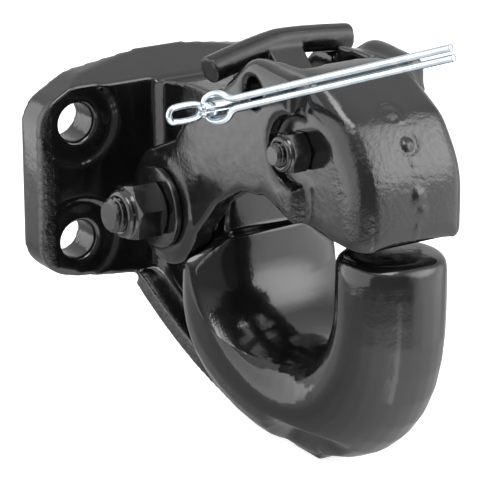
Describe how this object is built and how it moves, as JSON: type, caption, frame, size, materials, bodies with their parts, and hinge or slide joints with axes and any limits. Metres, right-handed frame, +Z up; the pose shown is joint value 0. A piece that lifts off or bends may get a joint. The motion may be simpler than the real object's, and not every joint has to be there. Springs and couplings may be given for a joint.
{
  "type": "pintle hook",
  "caption": "Cast rigid-mount pintle hook with a hinged latch, a T-handled lock lever, nylon-ring lock nuts and hanging split pins.",
  "frame": {"origin": "centre of the four mounting holes, on the rear face of the mounting plate", "axes": "+Z up, -Y forward, the way the hook reaches, +X across the hook"},
  "size_m": [0.116, 0.19, 0.1641],
  "materials": {
    "gloss_black_paint": "glossy black paint over a sand casting",
    "latch_black_paint": "glossy black paint over a sand casting",
    "lever_black_paint": "satin black paint",
    "black_fastener": "glossy black paint over steel",
    "black_washer": "glossy black paint over steel",
    "nut_nylon_ring": "painted nylon",
    "zinc_plated_wire": "bright zinc plate"
  },
  "bodies": {
    "hook": {"hook_body": "gloss_black_paint", "pivot_bolt": "black_fastener", "pivot_nut": "black_fastener", "pivot_nut_ring": "nut_nylon_ring", "near_pivot_washer": "black_washer", "far_pivot_washer": "black_washer"},
    "latch": {"latch": "latch_black_paint", "lock_bolt": "black_fastener", "lock_nut": "black_fastener", "lock_nut_ring": "nut_nylon_ring"},
    "lock_lever": {"lock_lever": "lever_black_paint"},
    "anchor_pin": {"anchor_pin": "zinc_plated_wire"},
    "long_pin": {"long_pin": "zinc_plated_wire"}
  },
  "joints": [
    {"name": "latch_lift", "type": "hinge", "parent": "hook", "child": "latch", "pos_m": [0, -0.049, -0.0024], "axis": [-1, 0, 0], "range_deg": [0, 60]},
    {"name": "lever_tilt", "type": "hinge", "parent": "latch", "child": "lock_lever", "pos_m": [0, -0.1275, 0.0367], "axis": [1, 0, 0], "range_deg": [0, 24]},
    {"name": "anchor_pull", "type": "slide", "parent": "latch", "child": "anchor_pin", "axis": [-1, 0, 0], "range_m": [0, 0.036]},
    {"name": "long_pin_swing", "type": "hinge", "parent": "anchor_pin", "child": "long_pin", "pos_m": [-0.0435, -0.1055, 0.0489], "axis": [-1, 0, 0], "range_deg": [-20, 65]}
  ],
  "couplings": [
    {"joint": "lever_tilt", "follows": "latch_lift", "ratio": 0.4}
  ]
}
